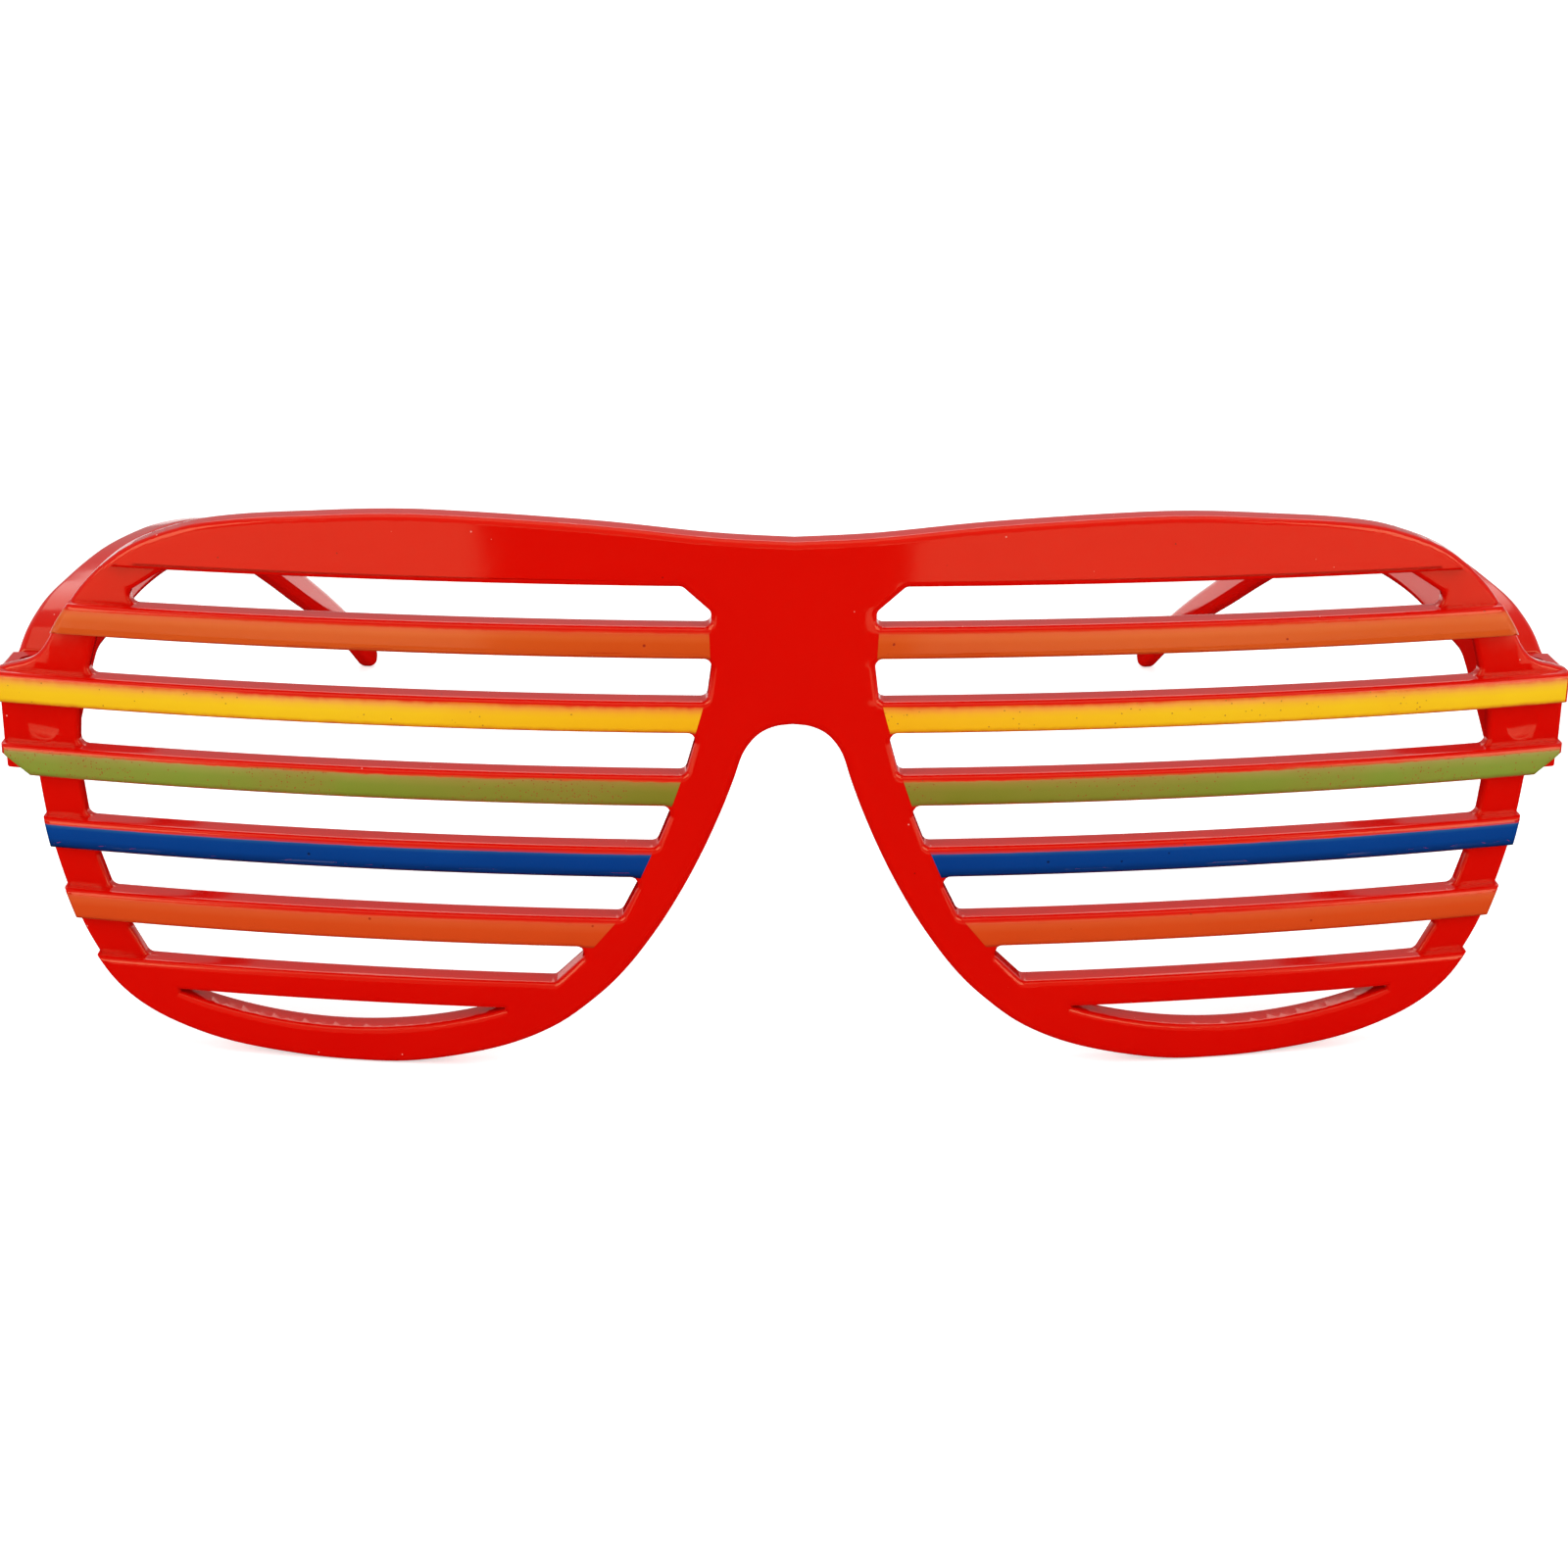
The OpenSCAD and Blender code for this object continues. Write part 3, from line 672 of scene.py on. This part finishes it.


# Spray paint on the slats: thin at the upper edge, with a painted highlight there, painted shade at
# the lower edge, speckled where the red shows through
def slatPaint(name, look, i):
    made, tree = newMaterial(name)
    where = addNode(tree, "TexCoord").outputs["Object"]
    spot = addNode(tree, "SeparateXYZ", {0: where})
    ragged = addNode(tree, "TexNoise", {"Vector": where, "Scale": perMm(paint["raggedSize"]),
        "Detail": 4.0})
    wander = addNode(tree, "MapRange", {0: ragged.outputs[0], 3: -look["ragged"],
        4: look["ragged"]})
    level = addNode(tree, "MapRange", {0: spot.outputs[2], 1: slatBottom(i) * mm,
        2: slatTop(i) * mm})
    edge = addNode(tree, "Math", {0: level.outputs[0], 1: wander.outputs[0]}, operation="ADD")
    # The ramp paints light and shade: it darkens towards the slat's lower edge as painted shade
    # over the red that shows where the paint ends, and its lighter band below the upper edge is
    # partly thinner paint and partly a painted highlight
    tone = addNode(tree, "ValToRGB", {0: edge.outputs[0]})
    ramp = tone.color_ramp
    ramp.elements.remove(ramp.elements[1])
    place, code = look["ramp"][0]
    ramp.elements[0].position, ramp.elements[0].color = place, colour(code)
    for place, code in look["ramp"][1:]:
        ramp.elements.new(place).color = colour(code)
    cells = addNode(tree, "TexVoronoi", {"Vector": where, "Scale": perMm(look["speckSize"])})
    pick = addNode(tree, "SeparateColor", {0: cells.outputs["Color"]})
    fade, patches, clouds = paint["speckFade"], paint["speckPatches"], paint["cloudPatches"]
    dot = addNode(tree, "MapRange", {0: cells.outputs["Distance"], 1: fade[0], 2: fade[1]})
    patchy = addNode(tree, "TexNoise", {"Vector": where, "Scale": perMm(paint["patchSize"]),
        "Detail": 2.0})
    # Near the bridge the colour is multiplied darker and more saturated: painted shade, standing
    # for the white that the gloss reflects further out
    sideways = addNode(tree, "Math", {0: spot.outputs[0]}, operation="ABSOLUTE")
    bridgeShadeShare = addNode(tree, "MapRange", {0: sideways.outputs[0], 1: paint["bridgeShadeFrom"] * mm,
        2: look["bridgeShadeTo"] * mm, 3: look["bridgeShade"], 4: 0.0})
    bridgeShaded = addNode(tree, "Mix", {0: bridgeShadeShare.outputs[0], 6: tone.outputs[0],
        7: colour(look["bridgeShadeColour"])}, data_type="RGBA", blend_type="MULTIPLY")
    some = addNode(tree, "MapRange", {0: patchy.outputs[0], 1: patches[0], 2: patches[1], 3: 0.0,
        4: look["specks"]})
    chance = addNode(tree, "Math", {0: pick.outputs[0], 1: some.outputs[0]},
        operation="LESS_THAN")
    speck = addNode(tree, "Math", {0: dot.outputs[0], 1: chance.outputs[0]}, operation="MULTIPLY")
    cloud = addNode(tree, "MapRange", {0: patchy.outputs[0], 1: clouds[0], 2: clouds[1], 3: 0.0,
        4: look["cloud"]})
    cloudy = addNode(tree, "Mix", {0: cloud.outputs[0], 6: bridgeShaded.outputs[2],
        7: colour(look["cloudColour"])}, data_type="RGBA")
    final = addNode(tree, "Mix", {0: speck.outputs[0], 6: cloudy.outputs[2],
        7: colour(look["speckColour"])}, data_type="RGBA")
    grain = addNode(tree, "Bump", {"Height": ragged.outputs[0], "Strength": 0.12,
        "Distance": paint["grainHeight"] * mm})
    pits = addNode(tree, "Bump", {"Height": speck.outputs[0], "Strength": 0.3,
        "Distance": paint["pitDepth"] * mm, "Normal": grain.outputs[0]}, invert=True)
    shader = addNode(tree, "BsdfPrincipled", {"Base Color": final.outputs[2],
        "Roughness": look["roughness"], "IOR": paint["ior"],
        "Specular Tint": colour(paint["gleam"]), "Normal": pits.outputs[0]})
    addNode(tree, "OutputMaterial", {"Surface": shader.outputs[0]})
    return made


# Zinc-plated steel: pale grey, with the faint clouds that the bath leaves
plating = {"dark": "#8E8C8A", "pale": "#B9B6B2", "stain": 0.4, "roughness": (0.28, 0.45)}


def platedSteel():
    made, tree = newMaterial("zincPlatedSteel")
    where = addNode(tree, "TexCoord").outputs["Object"]
    stain = addNode(tree, "TexNoise", {"Vector": where, "Scale": perMm(plating["stain"]),
        "Detail": 3.0})
    tone = addNode(tree, "Mix", {0: stain.outputs[0], 6: colour(plating["dark"]),
        7: colour(plating["pale"])}, data_type="RGBA")
    gloss = addNode(tree, "MapRange", {0: stain.outputs[0], 3: plating["roughness"][0],
        4: plating["roughness"][1]})
    shader = addNode(tree, "BsdfPrincipled", {"Base Color": tone.outputs[2], "Metallic": 1.0,
        "Roughness": gloss.outputs[0]})
    addNode(tree, "OutputMaterial", {"Surface": shader.outputs[0]})
    return made


def finishPiece(piece, name, material, body, node, angle=28):
    piece.name = name
    mesh = piece.data
    mesh.name = name
    mesh.materials.clear()
    mesh.materials.append(material)
    for face in mesh.polygons:
        face.material_index = 0
    mesh.shade_smooth()
    mesh.set_sharp_from_angle(angle=math.radians(angle))
    weighted = piece.modifiers.new("weighted", "WEIGHTED_NORMAL")
    weighted.keep_sharp = True
    weighted.weight = 80
    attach(piece, body)
    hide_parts(node)
    return piece


red = mouldedPolystyrene()
steel = platedSteel()

# The front: the comb of slats lies over a back level, which shows between them as stiles
comb = flatSolid("comb", [closedLoop(combSide)] + bothSides(crescentLoop()), 0, slat["blank"],
    front["edgeRadius"])
cutBehind(comb, slat["depth"])
baseLoops = [closedLoop(sideLine)]
for i in range(slat["count"] + 1):
    loop = [Vector(c) for c in slotCorners(i)]
    baseLoops += bothSides(rounded(loop, [slat["cornerRadius"]] * len(loop)))
baseLoops += bothSides(crescentLoop())
base = flatSolid("base", baseLoops, front["recess"], front["thickness"], front["backRadius"],
    shrink=front["backShrink"])
dimple = {"x": 70.2, "radius": 8.0, "depth": 0.18}      # the shallow hollow in front of each hinge
for side in (1, -1):
    combine(base, ball("dimple", dimple["radius"], side * dimple["x"],
        front["recess"] - dimple["radius"] + dimple["depth"], hingeZ), "DIFFERENCE")

# The five colours from the top down. A ramp goes from a slat's lower edge, 0, to its upper one
# Each ramp's dark lower end is painted shade; its lighter band below the upper edge is partly
# thinner paint and partly a painted highlight
looks = {
    "orange_upper": {"ramp": [(0.05, "#B43A18"), (0.12, "#D2521A"), (0.5, "#D6561A"),
        (0.66, "#DC6228"), (0.8, "#DE5A30"), (0.86, "#DC1E0C")],
        "ragged": 0.03, "speckSize": 0.5, "specks": 0.02,
        "speckColour": "#A02810", "cloud": 0.3, "cloudColour": "#D85A1C", "bridgeShade": 0.5,
        "bridgeShadeTo": 36, "bridgeShadeColour": "#F8C8A0", "roughness": 0.12},
    "yellow": {"ramp": [(0.04, "#C8501E"), (0.1, "#E89C14"), (0.18, "#F4C010"), (0.48, "#F6C614"),
        (0.64, "#F6BC28"), (0.76, "#F09E40"), (0.84, "#E46430"), (0.88, "#DC1E0C")],
        "ragged": 0.05, "speckSize": 0.28, "specks": 0.12, "speckColour": "#B8761C", "cloud": 0.4,
        "cloudColour": "#F2AE14", "bridgeShade": 0.6, "bridgeShadeTo": 40,
        "bridgeShadeColour": "#FFD898", "roughness": 0.2},
    "green": {"ramp": [(0.04, "#B02C20"), (0.09, "#7A7A28"), (0.2, "#7E9630"), (0.5, "#849A38"),
        (0.68, "#949E44"), (0.8, "#A89A54"), (0.85, "#DC1E0C")], "ragged": 0.04, "speckSize": 0.25,
        "specks": 0.42, "speckColour": "#A04A24", "cloud": 0.6, "cloudColour": "#968036",
        "bridgeShade": 0.9, "bridgeShadeTo": 66, "bridgeShadeColour": "#FFC8A8", "roughness": 0.2},
    "blue": {"ramp": [(0.05, "#061430"), (0.13, "#042860"), (0.35, "#043C86"), (0.68, "#06408C"),
        (0.79, "#245890"), (0.83, "#DC240C")], "ragged": 0.012, "speckSize": 0.5, "specks": 0.015,
        "speckColour": "#062048", "cloud": 0.3, "cloudColour": "#043678", "bridgeShade": 0.3,
        "bridgeShadeTo": 36, "bridgeShadeColour": "#C8D8F0", "roughness": 0.12},
    "orange_lower": {"ramp": [(0.05, "#B43014"), (0.12, "#D44616"), (0.5, "#D84A18"),
        (0.7, "#DC5626"), (0.82, "#DE5430"), (0.87, "#DC1E0C")],
        "ragged": 0.025, "speckSize": 0.5, "specks": 0.02,
        "speckColour": "#B03010", "cloud": 0.3, "cloudColour": "#DA4E1C", "bridgeShade": 0.3,
        "bridgeShadeTo": 36, "bridgeShadeColour": "#F8D0B8", "roughness": 0.12},
}
for i, (name, look) in enumerate(looks.items()):
    coat = slatPaint("sprayPaint_" + name, look, i)
    for side, word in ((1, "left"), (-1, "right")):
        film = paintFilm(i, side, "film")
        finishPiece(film, f"paint_{name}_{word}", coat, "front",
            f"stripe_{name}_{word}")
print("paint films made")

# Joined flat, then wrapped. The lugs aren't bent, so they come after
combine(base, comb, "UNION")
remesh(base, settle)
padLeft = nosePad()
padRight = flipX(padLeft, "padRight")
combine(base, padLeft, "UNION")
combine(base, padRight, "UNION")
remesh(base, slices)
remesh(base, bend)
remesh(base, settle)
lugLeft = hingeLug()
lugRight = flipX(lugLeft, "lugRight")
combine(base, lugLeft, "UNION")
combine(base, lugRight, "UNION")
remesh(base, settle)
for x in (hingeX, -hingeX):
    combine(base, swingRoom(x), "DIFFERENCE")
finishPiece(base, "moulded_front", red, "front", "front_frame")
print("front made")

# The temples and their screws
armLeft = makeTemple()
armRight = flipX(armLeft, "armRight")
finishPiece(armLeft, "moulded_temple_left", red, "temple_left", "temple_left")
finishPiece(armRight, "moulded_temple_right", red, "temple_right", "temple_right")
screwLeft = makeScrew("screwLeft")
screwRight = flipX(screwLeft, "screwRight")
finishPiece(screwLeft, "slotted_screw_left", steel, "front", "hinge_screw_left")
finishPiece(screwRight, "slotted_screw_right", steel, "front", "hinge_screw_right")
print("temples and screws made")

# White paper, a pale sky and four lamps. Sizes and distances here are in metres
studio = {
    "floor": ("#F2F2F1", "#F7F7F6"), "floorSize": 12.0, "floorLevel": -0.05,      # level in mm
    "glowFrom": 0.3,                 # the paper's glow grows from this distance on
    "white": (0.55, 1.0), "whiteAt": 1.2,      # as the camera sees it
    "shine": (0.22, 0.8), "shineAt": 1.6,      # as reflections see it
    "sky": "#FFFFFF", "skyStrength": 0.37,
    "lamps": {      # place, target, size, power in watts
        "overheadSoftbox": ((0, -0.15, 0.75), (0, -0.03, 0), (0.8, 0.6), 1.6),
        "leftSoftbox": ((-0.6, -0.45, 0.35), (0, -0.05, 0.03), (0.4, 0.5), 2.4),
        "rightSoftbox": ((0.6, -0.45, 0.35), (0, -0.05, 0.03), (0.4, 0.5), 2.4),
        "backSoftbox": ((0, 0.65, 0.6), (0, 0, 0.03), (0.8, 0.4), 1.6),
    },
}


def whiteFloor():
    made, tree = newMaterial("paperFloor")
    where = addNode(tree, "TexCoord").outputs["Object"]
    fibre = addNode(tree, "TexNoise", {"Vector": where, "Scale": perMm(3.0)})
    tone = addNode(tree, "Mix", {0: fibre.outputs[0], 6: colour(studio["floor"][0]),
        7: colour(studio["floor"][1])}, data_type="RGBA")
    paper = addNode(tree, "BsdfDiffuse", {"Color": tone.outputs[2]})
    path = addNode(tree, "LightPath")
    # the glow grows with the distance, to make up for the lamps' falling light
    away = addNode(tree, "VectorMath", {0: where}, operation="LENGTH").outputs["Value"]
    parts = []
    for kind, ray in (("white", "Is Camera Ray"), ("shine", "Is Glossy Ray")):
        near, far = studio[kind]
        grown = addNode(tree, "MapRange", {0: away, 1: studio["glowFrom"], 2: studio[kind + "At"],
            3: near, 4: far})
        parts.append(addNode(tree, "Math", {0: path.outputs[ray], 1: grown.outputs[0]},
            operation="MULTIPLY"))
    level = addNode(tree, "Math", {0: parts[0].outputs[0], 1: parts[1].outputs[0]},
        operation="ADD")
    glow = addNode(tree, "Emission", {"Strength": level.outputs[0]})
    both = addNode(tree, "AddShader", {0: paper.outputs[0], 1: glow.outputs[0]})
    addNode(tree, "OutputMaterial", {"Surface": both.outputs[0]})
    return made


bm = bmesh.new()
bmesh.ops.create_grid(bm, x_segments=1, y_segments=1, size=studio["floorSize"] / 2)
bmesh.ops.translate(bm, vec=(0, 0, studio["floorLevel"] * mm), verts=bm.verts)
floor = newPiece("paperFloor", bm)
floor.data.materials.append(whiteFloor())

# A black card lies round the glasses, as a studio photographer puts one there to keep
# the white table out of the gloss. Only reflections see it
card = {
    "level": -0.02,
    "outline": [(-205, 160), (205, 160), (205, -80), (150, -114), (90, -116), (30, -118),
        (77, -420), (-149, -420), (-62, -118), (-90, -116), (-150, -114), (-205, -80)],
}


def blackCard():
    made, tree = newMaterial("blackCard")
    felt = addNode(tree, "TexNoise", {"Vector": addNode(tree, "TexCoord").outputs["Object"],
        "Scale": perMm(2.0)})
    tone = addNode(tree, "Mix", {0: felt.outputs[0], 6: colour("#060606"), 7: colour("#0C0C0C")},
        data_type="RGBA")
    shader = addNode(tree, "BsdfDiffuse", {"Color": tone.outputs[2]})
    addNode(tree, "OutputMaterial", {"Surface": shader.outputs[0]})
    return made


bm = bmesh.new()
bm.faces.new([bm.verts.new((x * mm, (frontY + y) * mm, card["level"] * mm))
    for x, y in card["outline"]])
blackBoard = newPiece("blackCard", bm)
blackBoard.data.materials.append(blackCard())
for kind in ("camera", "diffuse", "transmission", "volume_scatter", "shadow"):
    setattr(blackBoard, "visible_" + kind, False)

world = bpy.data.worlds.new("softStudio")
bpy.context.scene.world = world
world.use_nodes = True
sky = world.node_tree
sky.nodes.clear()
path = addNode(sky, "LightPath")
strength = addNode(sky, "MapRange", {0: path.outputs["Is Camera Ray"],
    3: studio["skyStrength"], 4: 1.0})
air = addNode(sky, "Background", {"Color": colour(studio["sky"]), "Strength": strength.outputs[0]})
addNode(sky, "OutputWorld", {"Surface": air.outputs[0]})


def softbox(name, place, target, size, power):
    light = bpy.data.lights.new(name, "AREA")
    light.shape = "RECTANGLE"
    light.size, light.size_y = size
    light.energy = power
    lamp = newObject(name, light)
    lamp.location = place
    lamp.rotation_euler = (Vector(target) - Vector(place)).to_track_quat("-Z", "Y").to_euler()


for name, lamp in studio["lamps"].items():
    softbox(name, *lamp)

# The photograph's camera, from the perspective of the slats' edges
view = {
    # from the middle of the front's face, at the hinges' level
    "place": (-8.518, -230.0, 76.924),
    "pitch": 0.33328, "yaw": 0.03365, "roll": 0.01052,      # in radians
    "focal": 60.985,
}
forward = Vector((math.sin(view["yaw"]) * math.cos(view["pitch"]),
    math.cos(view["yaw"]) * math.cos(view["pitch"]), -math.sin(view["pitch"])))
across = Vector((math.cos(view["yaw"]), -math.sin(view["yaw"]), 0))
up = across.cross(forward)
rollCos, rollSin = math.cos(view["roll"]), math.sin(view["roll"])
right, top = across * rollCos + up * rollSin, up * rollCos - across * rollSin
lens = bpy.data.cameras.new("camera")
lens.sensor_width = 36
lens.lens = view["focal"]
lens.clip_start = 0.01
camera = newObject("camera", lens)
turn = Matrix((right, top, -forward)).transposed().to_4x4()
place = Vector(view["place"]) + Vector((0, frontY, hingeZ))
camera.matrix_world = Matrix.Translation(place * mm) @ turn
bpy.context.scene.camera = camera
bpy.context.scene.view_settings.view_transform = "Standard"

print("scene made")
